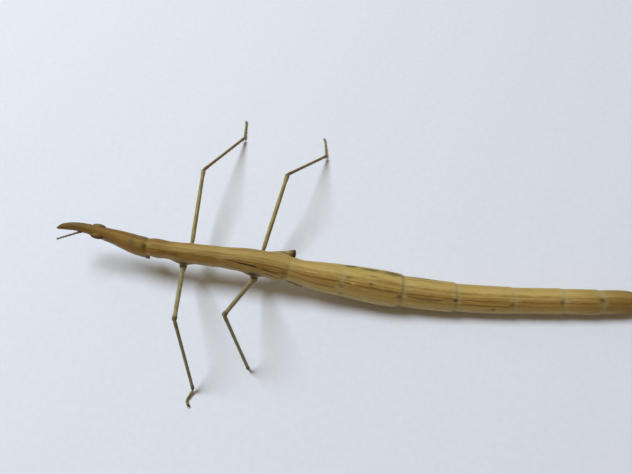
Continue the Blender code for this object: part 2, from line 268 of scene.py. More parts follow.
def cuticleMaterial():
    s = Shader("cuticle")
    fibre = s.attribute("fibre", "Vector")
    split = s.node("ShaderNodeSeparateXYZ")
    s.wire(fibre, split.inputs[0])
    along = split.outputs[0]
    # 0 at the middle of the back, 1 at the middle of the belly, wandering a little
    wander = s.math("MULTIPLY_ADD", s.noise(fibre, (0.35, 0.7, 0.7)), 0.05)
    wander.node.inputs[2].default_value = -0.025
    turn = s.math("DIVIDE", s.math("ARCCOSINE", s.times(split.outputs[1], 0.4999)), math.pi)
    turn = s.math("ADD", turn, wander)
    # the right side is painted paler, a painted sheen where the light falls on it, and its streaks lie
    # further out
    place = s.math("DIVIDE", along, bodyLength)
    litFarSide = s.math("MULTIPLY", split.outputs[2], -1.2, clamp=True)
    litFarSide = s.times(litFarSide, s.fade(turn, 0.45, 0.6, 1.0, 0.0))
    litFarSide = s.times(litFarSide, s.fade(place, 0.17, 0.21))
    turn = s.math("SUBTRACT", turn, s.times(litFarSide, 0.07))
    band = s.ramp(turn, ((0.0, "brown"), (0.014, "tan"), (0.035, "paleTan"), (0.07, "tan"), (0.118, "ochre"),
                         (0.134, "line"), (0.155, "ochre"), (0.24, "brown"), (0.3, "ochre"), (0.325, "tan"),
                         (0.345, "paleTan"), (0.45, "flank"), (0.5, "edgeGrey"), (0.565, "edgeGrey"),
                         (0.585, "darkBrown"), (0.62, "belly")))
    # long fibres, in three sizes
    coarse = s.noise(fibre, (0.22, 4.2, 4.2), detail=2)
    middle = s.noise(fibre, (0.42, 8.5, 8.5), (3, 1, 7))
    fine = s.noise(fibre, (0.9, 19, 19), (9, 4, 2))
    zone = s.ramp(turn, ((0.0, 0.35), (0.12, 0.5), (0.15, 0.9), (0.3, 0.9), (0.36, 0.6), (0.5, 0.45),
                         (0.7, 0.4)))
    streak = s.fade(coarse, 0.46, 0.62)
    colour = s.mix(s.times(s.times(streak, zone), 0.62), band, "darkBrown")
    streak = s.fade(middle, 0.5, 0.66)
    colour = s.mix(s.times(s.times(streak, zone), 0.6), colour, "brown")
    light = s.fade(middle, 0.3, 0.44, 1.0, 0.0)
    colour = s.mix(s.times(light, 0.45), colour, "paleTan")
    thin = s.fade(fine, 0.42, 0.6)
    colour = s.mix(s.times(thin, 0.38), colour, "darkBrown")
    # painted sheen: the lit right side mixed towards pale tan
    colour = s.mix(s.times(litFarSide, 0.5), colour, "paleTan")
    # the head is warmer and darker brown, fading back over the thorax: partly its own colour and partly
    # painted shade
    cloud = s.noise(fibre, (1.1, 1.6, 1.6), (4, 2, 1), detail=4)
    head = s.ramp(place, ((0.0, 1.0), (0.14, 0.9), (0.2, 0.42), (0.34, 0.25), (0.42, 0.0)))
    head = s.times(head, s.fade(cloud, 0.3, 0.65, 0.6, 1.0))
    colour = s.mix(head, colour, s.mix(0.72, colour, "headBrown"))
    # painted shade along the body, darkest at the head's tip and again towards the end of the abdomen
    shade = s.ramp(place, ((0.0, (0.5, 0.5, 0.55)), (0.037, (0.58, 0.56, 0.52)), (0.065, (0.74, 0.68, 0.48)),
                           (0.11, (0.84, 0.79, 0.6)), (0.15, (0.88, 0.84, 0.7)), (0.19, (0.9, 0.88, 0.8)),
                           (0.34, (0.9, 0.89, 0.82)), (0.385, (1.0, 1.0, 1.0)), (0.84, (1.0, 1.0, 1.0)),
                           (0.875, (0.86, 0.83, 0.77)), (0.94, (0.61, 0.57, 0.5))))
    colour = s.mix(1.0, colour, shade, "MULTIPLY")
    flank = s.ramp(place, ((0.37, 0.0), (0.42, 1.0), (0.56, 1.0), (0.64, 0.6), (0.94, 0.5)))
    flank = s.times(flank, s.ramp(turn, ((0.16, 0.0), (0.23, 1.0), (0.56, 1.0), (0.62, 0.0))))
    colour = s.mix(s.times(flank, 0.3), colour, "paleTan")
    colour = s.mix(s.fade(place, 0.9, 0.96, 0.0, 0.7), colour, "brown")
    colour = s.mix(s.times(s.attribute("ring"), 0.6), colour, "ringGrey")
    colour = s.mix(s.attribute("pale"), colour, "paleTan")
    streak = s.fade(middle, 0.35, 0.6, 1.0, 0.25)
    colour = s.mix(s.times(s.attribute("moss"), streak), colour, "moss")
    streak = s.fade(fine, 0.35, 0.5, 0.7, 1.0)
    colour = s.mix(s.times(s.attribute("green"), streak), colour, "darkGreen")
    colour = s.mix(s.attribute("red"), colour, "orange")
    colour = s.mix(s.attribute("dark"), colour, "black")
    speckle = s.noise(fibre, (6, 8, 8), detail=2)
    colour = s.mix(s.fade(speckle, 0.62, 0.74, 0.0, 0.5), colour, "line")
    grain = s.noise(fibre, (16, 24, 24), detail=2)
    height = s.math("ADD", s.times(fine, 0.8), s.times(grain, 0.5))
    height = s.math("ADD", height, middle)
    roughness = s.fade(s.math("ADD", s.times(fine, 0.5), s.times(grain, 0.5)), 0.3, 0.7, 0.42, 0.66)
    return s.finish(colour, roughness, height, strength=0.55, distance=0.00004)


def legMaterial(name, main, shade):
    s = Shader(name)
    fibre = s.attribute("fibre", "Vector")
    streaks = s.noise(fibre, (0.6, 9, 9))
    patches = s.noise(fibre, (0.7, 1.5, 1.5), (5, 2, 8))
    grain = s.noise(fibre, (14, 22, 22), (1, 6, 3), detail=2)
    colour = s.mix(s.fade(streaks, 0.4, 0.65, 0.0, 0.85), main, shade)
    colour = s.mix(s.fade(patches, 0.5, 0.72, 0.0, 0.5), colour, "darkBrown")
    colour = s.mix(s.fade(patches, 0.25, 0.42, 0.45, 0.0), colour, "greyGreen")
    colour = s.mix(s.attribute("red"), colour, "orange")
    colour = s.mix(s.attribute("dark"), colour, "soot")
    height = s.math("ADD", streaks, s.times(grain, 0.6))
    roughness = s.fade(grain, 0.3, 0.7, 0.4, 0.62)
    return s.finish(colour, roughness, height, strength=0.45, distance=0.00003)


def hornMaterial(name, main, shade, roughness=(0.28, 0.5)):
    s = Shader(name)
    place = s.objectPlace()
    cloud = s.noise(place, (2.4, 2.4, 2.4), detail=4)
    grain = s.noise(place, (18, 18, 18), detail=2)
    colour = s.mix(s.fade(cloud, 0.35, 0.68), main, shade)
    colour = s.mix(s.fade(grain, 0.5, 0.75, 0.0, 0.4), colour, "black")
    height = s.math("ADD", cloud, s.times(grain, 0.5))
    roughness = s.fade(grain, 0.3, 0.7, *roughness)
    return s.finish(colour, roughness, height, strength=0.35, distance=0.00003)


def eyeMaterial():
    s = Shader("eye")
    fibre = s.attribute("fibre", "Vector")
    split = s.node("ShaderNodeSeparateXYZ")
    s.wire(fibre, split.inputs[0])
    stripe = s.noise(fibre, (1.2, 6, 6))
    # painted shade: each eye is dark brown low down and ochre towards its top, streaked a little
    level = s.math("ADD", split.outputs[2], s.times(s.math("SUBTRACT", stripe, 0.5), 0.5))
    colour = s.ramp(level, ((0.3, (0.035, 0.014, 0.004)), (0.66, (0.062, 0.027, 0.006)),
                            (0.84, (0.13, 0.066, 0.01)), (1.0, (0.2, 0.12, 0.014))))
    cells = s.node("ShaderNodeTexVoronoi", feature="DISTANCE_TO_EDGE")
    cells.inputs["Scale"].default_value = 26
    s.wire(s.objectPlace(), cells.inputs["Vector"])
    facet = s.fade(cells.outputs["Distance"], 0.0, 0.12)
    colour = s.mix(s.times(s.math("SUBTRACT", 1.0, facet), 0.35), colour, "black")
    s.out.inputs["Coat Weight"].default_value = 0.04
    s.out.inputs["Coat Roughness"].default_value = 0.3
    roughness = s.fade(stripe, 0.3, 0.7, 0.42, 0.58)
    return s.finish(colour, roughness, facet, strength=0.25, distance=0.00001)


cuticle = cuticleMaterial()
# main colour, then shade
legOchre = legMaterial("legOchre", (0.4, 0.32, 0.12), (0.22, 0.15, 0.045))
legBrown = legMaterial("legBrown", (0.28, 0.18, 0.05), (0.16, 0.095, 0.025))
legOlive = legMaterial("legOlive", (0.34, 0.29, 0.13), (0.19, 0.15, 0.055))
brownFeeler = legMaterial("brownFeeler", (0.24, 0.17, 0.1), (0.13, 0.08, 0.04))
darkHorn = hornMaterial("darkHorn", (0.12, 0.06, 0.02), (0.03, 0.016, 0.008))
brownHorn = hornMaterial("brownHorn", (0.26, 0.15, 0.05), (0.12, 0.065, 0.02))
clawHorn = hornMaterial("clawHorn", (0.07, 0.035, 0.014), (0.02, 0.012, 0.008), (0.2, 0.35))
eyeGloss = eyeMaterial()
print("materials ready")

# line of the body behind the neck: distance from the head's tip, sideways bow, height of its middle
spine = (
    (12.1, 0.25, 5.45), (17.5, 0.0, 5.28), (21.9, -0.1, 5.1), (26.5, -0.2, 4.85), (30.9, -0.54, 4.28),
    (33.6, -0.84, 3.87), (37.7, -0.95, 3.22), (45.9, -1.3, 2.29), (53.1, -1.33, 1.83), (60.6, -0.95, 1.62),
    (67.3, -0.38, 1.57), (72.3, 0.04, 1.5), (76.7, 0.55, 1.39), (81.0, 1.1, 1.3),
)
# each length of the trunk: start, end, half width at shares of the way along it
lengths = {
    "pronotum": (12.15, 21.9, ((0, 1.08), (0.06, 1.2), (0.3, 1.15), (0.55, 1.27), (1, 1.39))),
    "mesothorax": (21.9, 27.0, ((0, 1.36), (0.4, 1.5), (0.85, 1.63), (1, 1.62))),
    "metathorax": (27.0, 30.9, ((0, 1.62), (0.45, 1.63), (0.8, 1.58), (1, 1.5))),
    "abdomen_2": (30.9, 37.75, ((0, 1.46), (0.2, 1.58), (0.5, 1.84), (0.8, 2.0), (1, 2.09))),
    "abdomen_3": (37.75, 45.9, ((0, 2.06), (0.3, 2.22), (0.75, 2.31), (1, 2.21))),
    "abdomen_4": (45.9, 53.1, ((0, 1.98), (0.2, 2.04), (0.8, 1.99), (1, 1.97))),
    "abdomen_5": (53.1, 60.6, ((0, 1.81), (0.3, 1.84), (0.8, 1.81), (1, 1.8))),
    "abdomen_6": (60.6, 67.3, ((0, 1.71), (0.3, 1.72), (0.8, 1.72), (1, 1.71))),
    "abdomen_7": (67.3, 72.3, ((0, 1.63), (0.3, 1.66), (0.8, 1.66), (1, 1.64))),
    "abdomen_8": (72.3, 76.7, ((0, 1.56), (0.3, 1.59), (0.7, 1.55), (1, 1.42))),
    "abdomen_tip": (76.7, 79.4, ((0, 1.32), (0.35, 1.26), (0.7, 1.0), (0.92, 0.62), (1, 0.3))),
}
# head: distance from its tip, sideways bow, top and bottom over the neck's middle, half width
headRows = (
    (0.0, 1.22, 1.52, 1.28, 0.13), (0.35, 1.38, 1.6, 1.15, 0.27), (1.2, 1.58, 1.68, 0.93, 0.43),
    (2.4, 1.71, 1.74, 0.63, 0.51), (3.5, 1.67, 1.77, 0.33, 0.57), (4.6, 1.5, 1.77, 0.03, 0.66),
    (6.0, 1.3, 1.69, -0.34, 0.79), (7.3, 1.11, 1.59, -0.7, 0.93), (8.5, 0.86, 1.49, -1.05, 1.11),
    (9.7, 0.57, 1.39, -1.35, 1.26), (10.8, 0.34, 1.3, -1.5, 1.32), (11.6, 0.26, 1.21, -1.4, 1.28),
    (12.15, 0.25, 1.08, -1.12, 1.13),
)
neckHeight = 5.45
skin = {
    "around": 136,
    "headStep": 0.085,
    "thoraxStep": 0.12,
    "abdomenStep": 0.16,
    # closer rows beside each joint, behind the head's tip and before the end
    "jointRows": (-0.16, -0.07, -0.02, 0.02, 0.06, 0.12),
    "tipRows": (0.01, 0.03, 0.06, 0.11),
    "tailRows": (0.1, 0.05, 0.02, 0.005, 0),
    "leastStep": 0.004,
    "heightShare": 0.95,
    "keelShare": 0.05,
    "keelAngle": 0.25,
    "bellyPower": 0.85,
    "fibreRadius": 2.0,
    "tipRound": 0.3,
    "tailRound": 0.5,
    # half length over which one joint's width becomes the next one's
    "step": 0.36,
    "slopeReach": 0.2,
    "neckEase": 2,
    "grain": 0.012,
    "grainRange": (12.2, 14.5),
    "moreGrain": 0.02,
    "moreGrainRange": (29, 33),
    "collar": 0.015,
}
neckAt = headRows[-1][0]
tailEnd = lengths["abdomen_tip"][1]
# the low swelling, furrow and pale band of a ring, each with its place beside the joint and its reach
ring = {
    "swell": 0.01,
    "swellAhead": 0.3,
    "swellReach": 0.25,
    "furrow": 0.006,
    "furrowBehind": 0.05,
    "furrowReach": 0.17,
    "bandBehind": 0.08,
    "bandReach": 0.45,
    "bandWave": 0.12,
    "bandBelow": 0.4,
}
# how clearly the ring shows at each joint behind the neck
ringStrengths = {
    21.9: 0.22, 27.0: 0.06, 30.9: 0.3, 37.75: 0.65, 45.9: 0.9, 53.1: 0.8, 60.6: 0.65, 67.3: 0.75, 72.3: 0.75,
    76.7: 0.75, 78.1: 0.5,
}
# ridges (height over 0) and furrows that run along the skin on both sides:
# height, half width in degrees, then (distance from the head's tip, degrees from the middle of the back)
ridges = (
    (0.045, 3.0, ((0.3, 0), (11.9, 0))),
    (0.04, 2.6, ((12.6, 0), (78.6, 0))),
    (0.07, 9.0, ((0.2, 74), (2.6, 68), (4.6, 60))),
    (0.035, 7.0, ((6.3, 44), (8.5, 36), (11.8, 30))),
    (-0.06, 6.0, ((5.9, 88), (8.0, 97), (10.4, 112))),
    (0.05, 6.0, ((5.9, 104), (8.2, 110), (10.3, 124))),
    (0.07, 5.0, ((3.2, 161), (6.0, 165), (9.9, 168))),
    (-0.05, 7.0, ((3.2, 180), (6.0, 180), (9.9, 180))),
    (0.03, 3.0, ((12.8, 23), (21.7, 23))),
    (0.035, 3.0, ((22.1, 23), (30.7, 24), (78.5, 23))),
    (0.022, 2.6, ((31.2, 42), (78.0, 42))),
    (0.03, 2.8, ((22.3, 60), (78.0, 59))),
    (0.02, 2.6, ((31.2, 78), (77.5, 77))),
    (0.06, 5.0, ((31.2, 96), (77.2, 95))),
    (0.05, 5.0, ((13.2, 112), (21.4, 112))),
    (-0.05, 4.0, ((13.2, 122), (21.4, 122))),
    (0.03, 5.0, ((31.2, 142), (76.0, 142))),
)
eye = {"at": (5.45, 0.6, 1.04), "half": (0.96, 0.44, 0.5), "yaw": math.radians(-6), "taper": 0.1}
feeler = {
    "at": (3.4, 0.38, 0.95),
    "length": 3.6,
    "turn": {"Left": (22.5, -5), "Right": (1, -18)},
    "stops": (0, 0.15, 0.25, 0.4, 0.55, 0.7, 0.85, 1),
    "radii": (0.2, 0.165, 0.145, 0.145, 0.14, 0.135, 0.125),
}
# low rims round the eyes and the feelers' roots: middle, half sizes, height
headRims = (
    (eye["at"], np.array(eye["half"]) * 1.02, 0.04),
    (feeler["at"], np.array((0.3, 0.3, 0.3)), 0.05),
)
# furrows with a dark floor: depth, half width in degrees, darkness, and their course as above
furrows = (
    (0.07, 4.0, 0.45, ((22.7, 31), (24.7, 40), (26.8, 44))),
    (0.09, 4.6, 0.95, ((24.0, 38), (25.4, 41), (27.1, 44.5))),
    (0.06, 4.0, 0.6, ((27.4, 51), (28.6, 54), (30.0, 58))),
    (0.05, 3.5, 0.45, ((22.8, 60), (24.7, 72), (26.0, 82))),
    (0.05, 3.5, 0.5, ((27.7, 70), (29.2, 76), (30.6, 84))),
    (0.02, 3.0, 0.45, ((13.6, 40), (17.5, 34), (21.7, 32))),
    (0.06, 3.5, 0.7, ((31.6, 103), (40.0, 104), (52.0, 104), (64.0, 103), (76.5, 103))),
    (0.0, 2.5, 0.5, ((31.2, 52), (34.0, 50), (37.4, 51))),
    (0.0, 2.5, 0.75, ((46.3, 34), (48.5, 38), (51.5, 36))),
    (0.0, 2.0, 0.5, ((53.4, 47), (56.5, 46), (60.2, 48))),
)
# marks and low swellings by layer: distance, degrees (left is positive), half length, half width in degrees
# and strength
spots = {
    "swell": (
        (16.9, 108, 1.3, 22, 0.34), (17.3, -116, 1.25, 20, 0.3), (26.5, 112, 1.3, 22, 0.32),
        (26.9, -116, 1.3, 20, 0.3), (29.6, 92, 1.5, 24, 0.2), (30.0, -80, 1.7, 22, 0.24),
    ),
    "dark": (
        (16.85, 106, 0.7, 10, 0.42), (17.3, -112, 0.7, 12, 0.6), (26.3, 106, 0.8, 12, 0.5),
        (26.9, -114, 0.8, 12, 0.7), (26.35, 90, 0.75, 11, 0.75), (17.1, 96, 0.6, 11, 0.7),
        (16.0, 41, 0.4, 7, 0.5), (11.95, 18, 0.2, 9, 0.5), (30.4, 42, 0.4, 11, 0.35),
        (30.4, 66, 0.35, 8, 0.4), (37.85, 39, 0.4, 7, 0.45), (38.05, 73, 0.35, 6, 0.45),
        (38.6, 7, 0.35, 4, 0.45), (41.6, 13, 0.3, 4, 0.75), (45.5, 39, 0.4, 8, 0.6),
        (45.65, 88, 0.35, 8, 0.6), (52.9, 30, 0.4, 8, 0.7), (53.0, 84, 0.3, 7, 0.5),
        (58.05, 64, 0.3, 6, 0.7), (60.4, 36, 0.42, 8, 0.55), (66.9, 20, 0.3, 14, 0.45),
        (72.2, 9, 0.45, 11, 0.6), (76.6, 10, 0.5, 60, 0.45), (78.9, 0, 0.7, 150, 0.5),
        (45.6, -78, 0.4, 8, 0.5), (53.0, -74, 0.4, 8, 0.5), (60.4, -80, 0.4, 9, 0.5),
        (37.9, -80, 0.32, 8, 0.5), (67.0, -76, 0.3, 9, 0.4),
    ),
    "red": (
        (27.2, 92, 0.5, 10, 0.7), (26.4, 104, 1.0, 14, 0.65), (17.0, 104, 0.9, 14, 0.65),
        (16.6, 84, 0.9, 12, 0.65), (17.3, 66, 0.8, 10, 0.5), (16.1, 44, 0.7, 10, 0.95),
        (17.4, -48, 0.5, 9, 0.85),
    ),
    "green": (
        (10.3, 14, 0.5, 26, 0.58), (11.85, 16, 0.42, 22, 0.65), (10.4, -34, 0.5, 20, 0.5),
        (11.8, -36, 0.42, 18, 0.5), (38.8, -53, 1.0, 11, 0.9), (41.5, -45, 1.5, 9, 0.85),
        (44.4, -45, 1.4, 12, 0.95), (48.5, -57, 2.2, 8, 0.6), (41.7, -14, 0.9, 3, 0.5),
        (38.9, 2, 0.8, 2.5, 0.4),
    ),
    "moss": (
        (40.0, -30, 2.2, 24, 0.6), (44.5, -36, 1.8, 16, 0.5), (39.5, -2, 1.4, 12, 0.4),
    ),
    "pale": (
        (39.3, 22, 0.35, 4, 0.7), (39.0, -12, 0.5, 5, 0.5),
    ),
}
# breathing holes, one low on each side of every ring of the abdomen
for start, *rest in list(lengths.values())[3:10]:
    for degrees in (99, -99):
        spots["swell"] += ((start + 1.0, degrees, 0.3, 9, 0.05), (start + 1.0, degrees, 0.13, 4, -0.07))
        spots["dark"] += ((start + 1.0, degrees, 0.14, 4.5, 0.85),)


def bodyRows():
    rows = set(np.arange(0, neckAt, skin["headStep"]))
    rows |= set(np.arange(neckAt, lengths["metathorax"][1], skin["thoraxStep"]))
    rows |= set(np.arange(lengths["metathorax"][1], tailEnd, skin["abdomenStep"]))
    for joint in ringStrengths:
        rows |= {joint + step for step in skin["jointRows"]}
    rows |= set(skin["tipRows"]) | {tailEnd - step for step in skin["tailRows"]}
    rows = sorted(rows)
    return [row for k, row in enumerate(rows) if k == 0 or row - rows[k - 1] > skin["leastStep"]]


# middle of the body, half width, half height and height of the section's middle over the line
def bodyLine(along):
    head = along < neckAt
    columns = [columnAt(headRows, k, along) for k in (1, 2, 3, 4)]
    side = np.where(head, columns[0], columnAt(spine, 1, along))
    height = np.where(head, neckHeight, columnAt(spine, 2, along))
    wide = columns[3]
    for start, end, profile in lengths.values():
        share = (along - start) / (end - start)
        section = columnAt(profile, 1, share)
        wide = wide + (section - wide) * softStep(along, start - skin["step"], start + skin["step"])
    thorax = softStep(along, neckAt - skin["step"], neckAt + skin["step"])
    high = (columns[1] - columns[2]) / 2
    high = high + (wide * skin["heightShare"] - high) * thorax
    rise = (columns[1] + columns[2]) / 2 * (1 - thorax)
    tip = np.sqrt(1 - (1 - np.clip(along / skin["tipRound"], 0, 1)) ** 2)
    tail = np.sqrt(1 - (1 - np.clip((tailEnd - along) / skin["tailRound"], 0, 1)) ** 2)
    return side, height, wide * tip * tail, high * tip * tail, rise


def ridgeRelief(along, angle):
    relief = np.zeros_like(along)
    for height, width, path in ridges:
        fade = between(along, path[0][0], path[-1][0], 0.15, 0.35)
        centre = np.radians(columnAt(path, 1, along))
        for sign in (1, -1):
            line = hump(turnBetween(angle, sign * centre), math.radians(width))
            # one on the middle line is laid down twice
            relief += height * fade * line / (2 if path[0][1] in (0, 180) else 1)
    return relief


def fibreRelief(along, angle):
    draw = random.Random(5)
    relief = np.zeros_like(along)
    for count in (13, 19, 24, 29, 34):
        for _ in range(2):
            drift = draw.uniform(0.15, 0.5) * np.sin(draw.uniform(0.12, 0.5) * along + draw.uniform(0, 6))
            relief += np.cos(count * angle + draw.uniform(0, 6) + 2.2 * drift) / 10
    return relief


def bodyShape(along, angle):
    side, height, wide, high, rise = bodyLine(along)
    # the body's own directions follow its line behind the neck
    step = skin["slopeReach"]
    before, after = bodyLine(np.maximum(along - step, neckAt)), bodyLine(along + step)
    ease = softStep(along, neckAt, neckAt + skin["neckEase"])
    slope = np.where(along > neckAt + step, (after[1] - before[1]) / (2 * step), 0) * ease
    sway = np.where(along > neckAt + step, (after[0] - before[0]) / (2 * step), 0) * ease
    back = np.stack([np.ones_like(along), sway, slope], 1)
    back /= np.linalg.norm(back, axis=1)[:, None]
    up = np.tile([0, -math.sin(roll), math.cos(roll)], (len(along), 1))
    up = up - back * (up * back).sum(1)[:, None]
    up /= np.linalg.norm(up, axis=1)[:, None]
    left = np.cross(back, up)

    lift = np.cos(angle)
    lift = np.where(lift < 0, -(np.abs(lift) ** skin["bellyPower"]), lift)
    keel = skin["keelShare"] * hump(angle, skin["keelAngle"])
    out = wide * np.sin(angle)
    lift = high * lift + wide * keel

    marks = {name: np.zeros_like(along) for name in ("ring", "dark", "green", "moss", "pale", "red")}
    relief = ridgeRelief(along, angle)
    grain = skin["grain"] + skin["moreGrain"] * softStep(along, *skin["moreGrainRange"])
    relief += fibreRelief(along, angle) * grain * softStep(along, *skin["grainRange"])
    above = 1 - softStep(np.abs(angle), math.radians(96), math.radians(108))
    for joint, strength in ringStrengths.items():
        away = along - joint
        relief += strength * ring["swell"] * hump(away + ring["swellAhead"], ring["swellReach"])
        relief -= strength * ring["furrow"] * hump(away - ring["furrowBehind"], ring["furrowReach"])
        reach = ring["bandReach"] + ring["bandWave"] * np.cos(7 * angle + joint)
        band = strength * hump(away - ring["bandBehind"], reach)
        band = band * (ring["bandBelow"] + (1 - ring["bandBelow"]) * above)
        marks["ring"] = np.maximum(marks["ring"], band)
    relief += hump(along - neckAt - 0.05, 0.35) * skin["collar"]
    relief -= hump(along - neckAt, 0.1) * skin["collar"]
    for depth, width, shade, path in furrows:
        fade = between(along, path[0][0], path[-1][0], 0.1, 0.6)
        centre = np.radians(columnAt(path, 1, along))
        for sign in (1, -1):
            line = fade * hump(turnBetween(angle, sign * centre), math.radians(width))
            relief -= depth * line
            # on the right side the furrows' floors are paler
            marks["dark"] = np.maximum(marks["dark"], shade * line * (1 if sign > 0 else 0.35))
    for layer, table in spots.items():
        for at, degrees, reach, width, strength in table:
            turned = turnBetween(angle, math.radians(degrees)) / math.radians(width)
            away = ((along - at) / reach) ** 2 + turned**2
            blot = strength * np.exp(-(away**1.5))
            if layer == "swell":
                relief += blot
            else:
                marks[layer] = np.maximum(marks[layer], blot)
    for centre, sizes, rim in headRims:
        for sign in (1, -1):
            offset = (along - centre[0], out - sign * centre[1], rise + lift - centre[2])
            reach = np.linalg.norm(np.stack(offset, 1) / sizes, axis=1)
            relief += rim * hump(reach - 1.12, 0.15)
    tip = softStep(along, 0.0, skin["tipRound"])
    relief *= tip * (1 - softStep(along, tailEnd - skin["tailRound"], tailEnd))
    out = out + relief * np.sin(angle)
    lift = lift + relief * np.cos(angle)
    middle = np.stack([along - bodyLength / 2, side + axisY, height], 1)
    places = middle + left * out[:, None] + up * (rise + lift)[:, None]
    places[:, 2] = np.maximum(places[:, 2], 0.0)
    radius = skin["fibreRadius"]
    marks["fibre"] = np.stack([along, radius * np.cos(angle), radius * np.sin(angle)], 1)
    return places, marks


bodySkin = rolledTube(skin["around"], bodyRows(), bodyShape)
bodySkin = finishPiece("bodySkin", bodySkin, cuticle, ["head", *lengths])
print("body skin:", len(bodySkin.data.polygons), "faces")


# a smooth path through points, with the frame carried along it
def pathFrames(points, shares):
    run = [0.0]
    for a, b in zip(points, points[1:]):
        run.append(run[-1] + (b - a).length)
    at = np.asarray(shares) * run[-1]
    path = np.stack([smoothThrough(run, [p[k] for p in points], at) for k in range(3)], 1)
    ahead = np.gradient(path, axis=0)
    ahead /= np.linalg.norm(ahead, axis=1)[:, None]
    across = np.cross((0, 0, 1), ahead[0])
    sides = []
    for direction in ahead:
        across = across - direction * across.dot(direction)
        across = across / np.linalg.norm(across)
        sides.append(across)
    sides = np.array(sides)
    return path, sides, np.cross(ahead, sides), run[-1]


# a limb along points, with its radius at shares of the way, ridges along it and darker shares
def limbMesh(points, profile, around=24, rows=60, ridgeCount=5, ridgeHeight=0.05, dark=(), red=(),
             flatten=1.0, rough=0.0, fibreRadius=0.3):
    shares = np.unique(np.concatenate([np.linspace(0, 1, rows), [p[0] for p in profile]]))
    path, sides, ups, length = pathFrames(points, shares)

    def shape(share, angle):
        row = np.searchsorted(shares, share - 1e-9)
        radius = columnAt(profile, 1, share, steady=True)
        ridge = np.abs(np.cos(ridgeCount * angle / 2)) ** 3
        mid = softStep(share, 0.02, 0.12) * (1 - softStep(share, 0.88, 0.98))
        radius = radius * (1 + ridgeHeight * (ridge - 0.4) * mid)
        lumps = np.sin(3 * angle + 0.7) + 0.7 * np.sin(7 * angle + 40 * share) + 0.5 * np.sin(11 * angle + 2)
        radius = radius * (1 + rough * lumps * softStep(share, 0.86, 0.94))
        places = path[row] + sides[row] * (radius * np.sin(angle))[:, None]
        places = places + ups[row] * (radius * flatten * np.cos(angle))[:, None]
        bands = []
        for table in (dark, red):
            shade = np.zeros_like(share)
            for at, reach, strength in table:
                shade = np.maximum(shade, strength * hump(share - at, reach))
            bands.append(shade)
        fibre = np.stack([share * length, fibreRadius * np.cos(angle), fibreRadius * np.sin(angle)], 1)
        return places, {"dark": bands[0], "red": bands[1], "fibre": fibre}

    return rolledTube(around, shares, shape)


# hip, knee and ankle of each leg: distance from the head's tip, to the side, height
legJoints = {
    "fore_left": ((16.75, -1.35, 3.35), (18.85, -10.8, 10.2), (20.5, -16.75, 0.5)),
    "fore_right": ((17.35, 1.3, 3.5), (17.4, 12.5, 5.85), (21.1, 21.95, 0.5)),
    "mid_left": ((26.3, -1.85, 2.75), (24.75, -9.95, 11.15), (27.1, -13.45, 0.5)),
    "mid_right": ((26.85, 1.4, 3.0), (29.35, 12.1, 7.25), (33.95, 20.0, 0.5)),
}
# course of each foot over the floor, from its ankle
feet = {
    "fore_left": ((0, 0), (-0.42, -0.8), (-0.62, -1.45), (-0.15, -2.2)),
    "fore_right": ((0, 0), (-0.02, 1.2), (-0.1, 2.5), (-0.2, 3.6)),
    "mid_left": ((0, 0), (-0.35, 0.55), (-0.75, 1.25), (-1.3, 2.1)),
    "mid_right": ((0, 0), (-0.15, 1.35), (-0.35, 2.5), (-0.6, 3.5)),
}
leg = {
    "coxa": ((0, 0), (0.02, 0.46), (0.2, 0.52), (0.42, 0.49), (0.55, 0.42), (0.6, 0.36), (0.63, 0.34),
             (0.68, 0.35), (0.85, 0.34), (0.96, 0.28), (1, 0)),
    "femur": ((0, 0), (0.004, 0.14), (0.02, 0.25), (0.07, 0.295), (0.3, 0.285), (0.6, 0.28), (0.88, 0.255),
              (0.955, 0.32), (0.985, 0.29), (0.997, 0.14), (1, 0)),
    "tibia": ((0, 0), (0.004, 0.12), (0.015, 0.21), (0.05, 0.235), (0.12, 0.21), (0.6, 0.2), (0.93, 0.2),
              (0.975, 0.24), (0.992, 0.2), (0.998, 0.1), (1, 0)),
    "tarsus": ((0, 0), (0.01, 0.1), (0.04, 0.15), (0.15, 0.16), (0.3, 0.18), (0.345, 0.11), (0.39, 0.15),
               (0.5, 0.18), (0.545, 0.11), (0.6, 0.14), (0.8, 0.145), (0.93, 0.17), (0.98, 0.12), (1, 0)),
    # dark and red places: share of the way, reach, strength
    "coxaDark": ((0.36, 0.12, 0.2), (0.625, 0.02, 0.45)),
    "coxaRed": ((0.45, 0.16, 0.85),),
    "femurDark": ((0.0, 0.03, 0.4), (0.985, 0.014, 0.65)),
    "tibiaDark": ((0.0, 0.012, 0.68), (0.07, 0.03, 0.38), (0.99, 0.04, 0.7)),
    "tarsusDark": ((0.345, 0.03, 0.9), (0.545, 0.03, 0.9), (1.0, 0.1, 0.8), (0.0, 0.06, 0.7)),
    # how far the coxa reaches into the body, and how far under the middle it aims
    "coxaDepth": 1.0,
    "coxaAim": 0.9,
    "coxaBend": 0.5,
    "trochanterEnd": 0.9,
    "trochanterOverlap": 0.12,
    "kneeOverlap": 0.1,
    "kneeGap": 0.06,
    "ankleGap": 0.1,
    "ankleHeight": 0.42,
    "footHeight": 0.183,
    "footEnd": 0.25,
}
# small spines in two rows under each shin
spines = {
    "gap": 0.85,
    "length": 0.26,
    "start": 0.16,
    "span": 0.78,
    "down": 0.8,
    "out": 0.6,
    "forward": 0.75,
    "rootAway": 0.17,
    "radius": 0.035,
    "tipRadius": 0.004,
}
# pair of claws: points as forward, out and up from the foot's end
claw = {
    "course": ((-0.08, 0, 0), (0.1, 0.1, 0.05), (0.2, 0.19, -0.09)),
    "profile": ((0, 0), (0.02, 0.07), (0.3, 0.06), (0.7, 0.035), (0.98, 0.01), (1, 0)),
}


# middle of the body behind the neck
def spinePoint(along):
    return placeAt(along, float(columnAt(spine, 1, along)), float(columnAt(spine, 2, along)))


# a turn from straight up to the direction, after a move to the place
def pointedAt(place, direction):
    return Matrix.Translation(place) @ Vector((0, 0, 1)).rotation_difference(direction).to_matrix().to_4x4()


